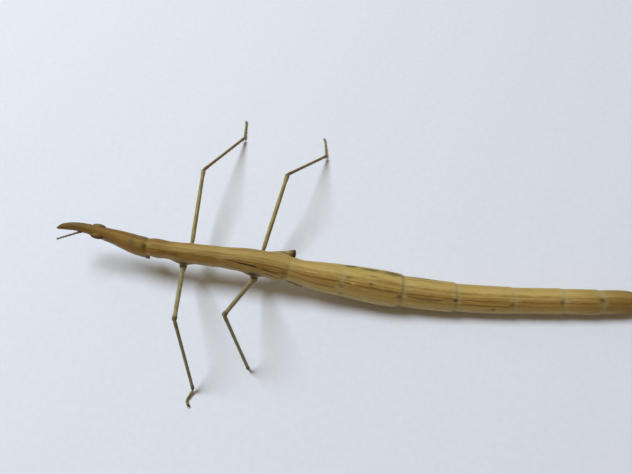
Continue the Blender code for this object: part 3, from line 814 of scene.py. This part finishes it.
def shinSpines(bm, knee, ankle):
    shin = ankle - knee
    under = shin.cross(Vector((0, 0, 1))).cross(shin).normalized()
    if under.z > 0:
        under = -under
    across = shin.cross(under).normalized()
    count = int(shin.length * 0.8 / spines["gap"])
    for k in range(count):
        root = knee.lerp(ankle, spines["start"] + spines["span"] * k / (count - 1))
        for sign in (1, -1):
            outwards = under * spines["down"] + across * sign * spines["out"]
            reach = (outwards + shin.normalized() * spines["forward"]).normalized()
            base = root + outwards.normalized() * spines["rootAway"]
            place = pointedAt(base + reach * spines["length"] / 2, reach)
            bmesh.ops.create_cone(bm, cap_ends=True, segments=6, radius1=spines["radius"],
                                  radius2=spines["tipRadius"], depth=spines["length"], matrix=place)


def makeLeg(name):
    hip, knee, ankle = (placeAt(*joint) for joint in legJoints[name])
    thigh = (knee - hip).normalized()
    shin = (ankle - knee).normalized()
    inwards = (spinePoint(legJoints[name][0][0]) - Vector((0, 0, leg["coxaAim"])) - hip).normalized()
    right = name.endswith("right")
    skinTone = legOchre if right else legOlive
    title = "".join(part.capitalize() for part in name.split("_"))
    title = title[0].lower() + title[1:]
    trochanter = hip + thigh * leg["trochanterEnd"]
    course = [hip + inwards * leg["coxaDepth"], hip, hip + thigh * leg["coxaBend"],
              hip + thigh * (leg["trochanterEnd"] + leg["trochanterOverlap"])]
    bm = limbMesh(course, leg["coxa"], rows=50, ridgeCount=6, ridgeHeight=0.06, dark=leg["coxaDark"],
                  red=leg["coxaRed"])
    finishPiece(title + "Coxa", bm, skinTone, [name + "_coxa"])
    bm = limbMesh([trochanter, knee + thigh * leg["kneeOverlap"]], leg["femur"], rows=90, flatten=1.08,
                  dark=leg["femurDark"])
    finishPiece(title + "Femur", bm, skinTone, [name + "_femur"])
    bm = limbMesh([knee + shin * leg["kneeGap"], ankle - shin * leg["ankleGap"]], leg["tibia"], rows=90,
                  ridgeCount=4, dark=leg["tibiaDark"])
    shinSpines(bm, knee, ankle)
    finishPiece(title + "Tibia", bm, legBrown if right else legOlive, [name + "_tibia"])
    makeFoot(title, name, ankle, skinTone)


def makeFoot(title, name, ankle, skinTone):
    ground = leg["footHeight"]
    heights = (leg["ankleHeight"], ground + 0.05, ground, ground)
    course = [Vector((ankle.x + x, ankle.y + y, h)) for (x, y), h in zip(feet[name], heights)]
    ahead = (course[-1] - course[-2]).normalized()
    course[-1] = course[-1] - ahead * leg["footEnd"]
    bm = limbMesh(course, leg["tarsus"], around=20, rows=70, ridgeCount=2, ridgeHeight=0.04,
                  dark=leg["tarsusDark"])
    finishPiece(title + "Tarsus", bm, skinTone, [name + "_tarsus"])
    claws = bmesh.new()
    across = ahead.cross(Vector((0, 0, 1))).normalized()
    tip = course[-1]
    for sign in (1, -1):
        points = [tip + ahead * a + across * sign * b + Vector((0, 0, c)) for a, b, c in claw["course"]]
        joinInto(claws, limbMesh(points, claw["profile"], around=12, rows=24, ridgeHeight=0))
    finishPiece(title + "Claws", claws, clawHorn, [name + "_tarsus"])


for name in legJoints:
    makeLeg(name)
print("legs ready")

headLeft = Vector((0, -math.cos(roll), -math.sin(roll)))
headUp = Vector((0, -math.sin(roll), math.cos(roll)))


# a place on the head: distance from its tip, out to the animal's left, and up from the neck
def headAt(along, out, height):
    side = float(columnAt(headRows, 1, along))
    return placeAt(along, side, neckHeight) + headLeft * out + headUp * height


# an egg of these half sizes, narrower towards its end by the taper, turned and put in its place
def lobe(place, half, pitch=0.0, lean=0.0, yaw=0.0, taper=0.0, cleft=0.0):
    bm = bmesh.new()
    bmesh.ops.create_uvsphere(bm, u_segments=36, v_segments=24, radius=1)
    for v in bm.verts:
        low = max(0.0, -v.co.z)
        v.co.y *= 1 - taper * low
        v.co.z += cleft * low * math.exp(-((v.co.y / 0.2) ** 2))
    bmesh.ops.scale(bm, verts=bm.verts[:], vec=half)
    turn = Matrix.Rotation(yaw, 4, "Z") @ Matrix.Rotation(lean, 4, "X") @ Matrix.Rotation(pitch, 4, "Y")
    bmesh.ops.transform(bm, matrix=Matrix.Translation(place) @ turn, verts=bm.verts[:])
    return bm


def makeEye(side, sign):
    along, out, height = eye["at"]
    bm = bmesh.new()
    bmesh.ops.create_uvsphere(bm, u_segments=96, v_segments=64, radius=1)
    # the fibre's third value runs from 0 at the eye's bottom to 1 at its top, for the eye's painted shade
    fibre = bm.verts.layers.float_vector.new("fibre")
    for v in bm.verts:
        v[fibre] = (v.co.x * eye["half"][0], v.co.y * eye["half"][1], v.co.z / 2 + 0.5)
        v.co.z *= 1 - eye["taper"] * v.co.x
    bmesh.ops.scale(bm, verts=bm.verts[:], vec=eye["half"])
    turn = Matrix.Rotation(eye["yaw"], 4, "Z") @ Matrix.Rotation(roll, 4, "X")
    place = Matrix.Translation(headAt(along, sign * out, height)) @ turn
    bmesh.ops.transform(bm, matrix=place, verts=bm.verts[:])
    finishPiece("eye" + side, bm, eyeGloss, ["eye_" + side.lower()])


# a limb in joints: each swells towards its far end and is pinched where the next begins
def jointed(stops, radii, pinch=0.68):
    profile = [(0.0, 0.0), (0.005, radii[0] * 0.7)]
    for a, b, radius in zip(stops, stops[1:], radii):
        long = b - a
        profile += [(a + 0.12 * long, radius * 0.86), (a + 0.7 * long, radius)]
        profile.append((b - 0.08 * long, radius * 0.93))
        profile.append((b, radius * pinch) if b < 1 else (0.997, radius * 0.45))
    return tuple(profile) + ((1.0, 0.0),)


def makeFeeler(side, sign):
    along, out, height = feeler["at"]
    root = headAt(along, sign * out, height)
    outwards, upwards = (math.radians(turn) for turn in feeler["turn"][side])
    reach = Vector((-math.cos(outwards), -sign * math.sin(outwards), math.tan(upwards))).normalized()
    stops, radii = feeler["stops"], feeler["radii"]
    dark = tuple((stop, 0.014, 0.85) for stop in stops[1:-1]) + ((1.0, 0.05, 0.6),)
    bm = limbMesh([root, root + reach * feeler["length"]], jointed(stops, radii), rows=150, ridgeCount=4,
                  dark=dark, flatten=0.85)
    finishPiece("feeler" + side, bm, brownFeeler, ["antenna_" + side.lower()])


# lobes of the mouth: place on the head (on both sides if it lies out to one), half sizes, turn and shape
mouth = {
    "upperLip": (brownHorn, (
        {"at": (10.15, 0, -1.38), "half": (0.62, 0.78, 0.3), "pitch": 0.18},
        {"at": (10.66, 0, -1.86), "half": (0.3, 0.66, 0.62), "pitch": -0.5, "taper": 0.25, "cleft": 0.22},
    )),
    "jaws": (darkHorn, (
        {"at": (11.05, 0.66, -1.58), "half": (0.5, 0.32, 0.6), "pitch": -0.25, "taper": 0.35, "splay": 0.12},
    )),
    "lowerLip": (brownHorn, (
        {"at": (11.7, 0.66, -1.64), "half": (0.34, 0.26, 0.68), "pitch": -0.1, "taper": 0.3},
        {"at": (11.55, 0.36, -1.98), "half": (0.26, 0.16, 0.5), "pitch": -0.45, "taper": 0.2},
        {"at": (12.15, 0.3, -1.9), "half": (0.22, 0.3, 0.5), "pitch": -0.35, "taper": 0.15},
        {"at": (12.2, 0, -1.45), "half": (0.38, 0.62, 0.42), "pitch": -0.1},
    )),
}
# palps: their course on the head, shares of it where they are jointed, radius at the root
palps = (
    (((11.85, 0.66, -1.84), (11.95, 0.82, -2.12), (11.65, 0.8, -2.4), (11.2, 0.66, -2.5),
      (10.9, 0.52, -2.48)), (0, 0.12, 0.24, 0.5, 0.74, 1), 0.095),
    (((12.3, 0.3, -2.05), (12.24, 0.4, -2.34), (11.95, 0.38, -2.48), (11.7, 0.32, -2.5)),
     (0, 0.3, 0.62, 1), 0.08),
)


def mouthLobe(bm, part, sign):
    along, out, height = part["at"]
    lean = roll - sign * part.get("splay", 0.0)
    joinInto(bm, lobe(headAt(along, sign * out, height), part["half"], part["pitch"], lean, eye["yaw"],
                      part.get("taper", 0.0), part.get("cleft", 0.0)))


def makeMouth():
    for name, (material, parts) in mouth.items():
        bm = bmesh.new()
        for sign in (1, -1):
            for part in parts:
                if part["at"][1]:
                    mouthLobe(bm, part, sign)
        for part in parts:
            if not part["at"][1]:
                mouthLobe(bm, part, 1)
        finishPiece(name, bm, material, ["mouthparts"])
    bm = bmesh.new()
    for sign in (1, -1):
        for course, stops, radius in palps:
            radii = [radius * (1 - 0.06 * k) for k in range(len(stops) - 1)]
            dark = tuple((stop, 0.02, 0.8) for stop in stops[1:-1])
            points = [headAt(along, sign * out, height) for along, out, height in course]
            joinInto(bm, limbMesh(points, jointed(stops, radii), 16, 80, ridgeHeight=0, dark=dark))
    finishPiece("palps", bm, legBrown, ["mouthparts"])


for side, sign in (("Left", 1), ("Right", -1)):
    makeEye(side, sign)
    makeFeeler(side, sign)
makeMouth()
print("head pieces ready")

# what is left of the hind legs
stumps = {
    "Left": {
        "joints": ((28.7, -1.2, 3.9), (30.8, -1.88, 3.62), (32.95, -2.24, 3.17)),
        "profile": ((0, 0.28), (0.3, 0.24), (0.6, 0.22), (0.8, 0.25), (0.9, 0.28), (0.97, 0.27),
                    (0.985, 0.22), (0.992, 0.15), (0.997, 0.08), (1, 0)),
        "dark": ((0.62, 0.05, 0.35), (1.0, 0.05, 0.6)),
        "red": (),
        "rough": 0.05,
    },
    "Right": {
        "joints": ((27.9, 1.1, 4.75), (29.8, 1.46, 4.72), (31.66, 1.56, 4.66)),
        "profile": ((0, 0.32), (0.3, 0.27), (0.6, 0.26), (0.7, 0.31), (0.8, 0.43), (0.88, 0.49),
                    (0.955, 0.49), (0.975, 0.43), (0.988, 0.33), (0.993, 0.2), (0.997, 0.09), (1, 0)),
        "dark": ((1.0, 0.13, 1.0), (0.94, 0.09, 1.0)),
        "red": ((0.83, 0.08, 0.75),),
        "rough": 0.07,
    },
}


def makeStump(side):
    stump = stumps[side]
    bm = limbMesh([placeAt(*joint) for joint in stump["joints"]], stump["profile"], around=36, rows=90,
                  dark=stump["dark"], red=stump["red"], rough=stump["rough"])
    finishPiece("stump" + side, bm, legOlive, ["hind_stump_" + side.lower()])


for side in stumps:
    makeStump(side)
print("stumps ready")

tail = {
    "valveStart": 78.7,
    # height at the root, rise of the hooked tip, and 1 or -1 for teeth that point up or down
    "valves": {"upper": (1.66, 0.32, 1), "lower": (0.96, -0.26, -1)},
    "valveProfile": ((0, 0.0), (0.02, 0.26), (0.4, 0.27), (0.7, 0.21), (0.88, 0.13), (0.97, 0.06), (1, 0)),
    "valveApart": ((0, 0.3), (0.4, 0.27), (0.75, 0.17), (1, 0.08)),
    "teeth": 7,
    "toothRadius": 0.05,
    "toothDepth": 0.09,
    "cercusAt": (78.2, 0.72, 1.8),
    "cercusLength": 1.2,
    "cercusSplay": math.radians(14),
    "cercusProfile": ((0, 0.25), (0.3, 0.25), (0.7, 0.17), (0.92, 0.09), (0.98, 0.05), (1, 0)),
    # place, half sizes, pitch and yaw
    "endPlates": (
        ((78.75, 0, 2.05), (0.72, 0.42, 0.16), 0.25, 0.0),
        ((78.95, 0.38, 1.85), (0.42, 0.26, 0.2), 0.15, 0.2),
        ((78.9, 0, 0.56), (0.85, 0.52, 0.2), -0.12, 0.0),
    ),
}


# a place beside the middle of the body at its far end
def tailAt(along, side, height):
    middle = spinePoint(along)
    return Vector((middle.x, middle.y + side, height))


# the middle of one valve at a share of its length
def valveAt(name, share, sign):
    root, hook = tail["valves"][name][:2]
    apart = float(columnAt(tail["valveApart"], 1, share))
    along = tail["valveStart"] + (bodyLength - tail["valveStart"]) * share
    return tailAt(along, sign * apart, root + hook * share**2)


def makeValves(name):
    upwards = tail["valves"][name][2]
    bm = bmesh.new()
    for sign in (1, -1):
        course = [valveAt(name, share, sign) for share in (0, 0.2, 0.4, 0.6, 0.8, 1.0)]
        joinInto(bm, limbMesh(course, tail["valveProfile"], around=28, ridgeCount=2, ridgeHeight=0.12,
                              dark=((1.0, 0.3, 0.8),)))
        for k in range(tail["teeth"]):
            share = 0.45 + 0.5 * k / (tail["teeth"] - 1)
            radius = float(columnAt(tail["valveProfile"], 1, share, steady=True))
            reach = Vector((0.15, sign * 0.75, upwards * 0.65)).normalized()
            base = valveAt(name, share, sign) + reach * radius
            bmesh.ops.create_cone(bm, cap_ends=True, segments=8, radius1=tail["toothRadius"], radius2=0.008,
                                  depth=tail["toothDepth"], matrix=pointedAt(base, reach))
    finishPiece(name + "Valves", bm, darkHorn, ["ovipositor_" + name])


def makeCercus(side, sign):
    along, out, height = tail["cercusAt"]
    root = tailAt(along, sign * out, height)
    splay = tail["cercusSplay"]
    end = root + Vector((math.cos(splay), sign * math.sin(splay), 0)) * tail["cercusLength"]
    bm = limbMesh([root, end], tail["cercusProfile"], rows=40, ridgeCount=3, dark=((1.0, 0.25, 0.7),))
    finishPiece("cercus" + side, bm, legOlive, ["cercus_" + side.lower()])


def makeEndPlates():
    bm = bmesh.new()
    for (along, out, height), half, pitch, yaw in tail["endPlates"]:
        for sign in (1, -1) if out else (1,):
            joinInto(bm, lobe(tailAt(along, sign * out, height), half, pitch=pitch, yaw=sign * yaw))
    finishPiece("endPlates", bm, brownHorn, ["abdomen_tip"])


for name in tail["valves"]:
    makeValves(name)
makeCercus("Left", -1)
makeCercus("Right", 1)
makeEndPlates()
print("tail ready")


lamps = {
    "windowLight": {"towards": (-0.62, 0.3, 1.0), "distance": 0.6, "size": 0.27, "energy": 3.95,
                    "colour": (0.75, 0.85, 1.0)},
    "skyLight": {"towards": (-0.3, 1.2, 0.8), "distance": 1.0, "size": 0.8, "energy": 0.7,
                 "colour": (0.8, 0.88, 1.0)},
}
room = {"colour": (1.0, 0.8, 0.5), "strength": 0.21}
paper = {"halfWidth": 3, "roughness": 0.9, "pale": (0.785, 0.785, 0.785), "shade": (0.755, 0.755, 0.76)}
# camera, its place and aim in millimetres
view = {
    "lens": 35.886,
    "sensor": 36,
    "clip": (0.001, 20),
    "at": (-2.69, -35.99, 80.89),
    "aim": (-6.7, 3.26, 0.0),
}


def stageFloor():
    bm = bmesh.new()
    bmesh.ops.create_grid(bm, x_segments=1, y_segments=1, size=paper["halfWidth"])
    mesh = meshFrom("floor", bm)
    s = Shader("paper", paper["roughness"])
    grain = s.noise(s.objectPlace(), (1.2, 1.2, 1.2), detail=4)
    colour = s.mix(s.fade(grain, 0.3, 0.7), paper["pale"], paper["shade"])
    mesh.materials.append(s.finish(colour, None, grain, strength=0.1, distance=0.00003))
    objectFrom("floor", mesh)


def lightStage():
    for name, lamp in lamps.items():
        light = bpy.data.lights.new(name, "AREA")
        light.shape = "DISK"
        light.size = lamp["size"]
        light.energy = lamp["energy"]
        light.color = lamp["colour"]
        holder = objectFrom(name, light)
        direction = Vector(lamp["towards"]).normalized()
        holder.location = direction * lamp["distance"]
        holder.rotation_euler = direction.to_track_quat("Z", "Y").to_euler()
    world = bpy.data.worlds.new("roomLight")
    bpy.context.scene.world = world
    world.use_nodes = True
    background = world.node_tree.nodes["Background"]
    background.inputs["Color"].default_value = (*room["colour"], 1)
    background.inputs["Strength"].default_value = room["strength"]


def placeCamera():
    data = bpy.data.cameras.new("camera")
    data.lens = view["lens"]
    data.sensor_width = view["sensor"]
    data.clip_start, data.clip_end = view["clip"]
    camera = objectFrom("camera", data)
    camera.location = Vector(view["at"]) * mm
    aim = Vector(view["aim"]) * mm
    camera.rotation_euler = (camera.location - aim).to_track_quat("Z", "Y").to_euler()
    bpy.context.scene.camera = camera


stageFloor()
lightStage()
placeCamera()
bpy.context.scene.view_settings.view_transform = "Standard"
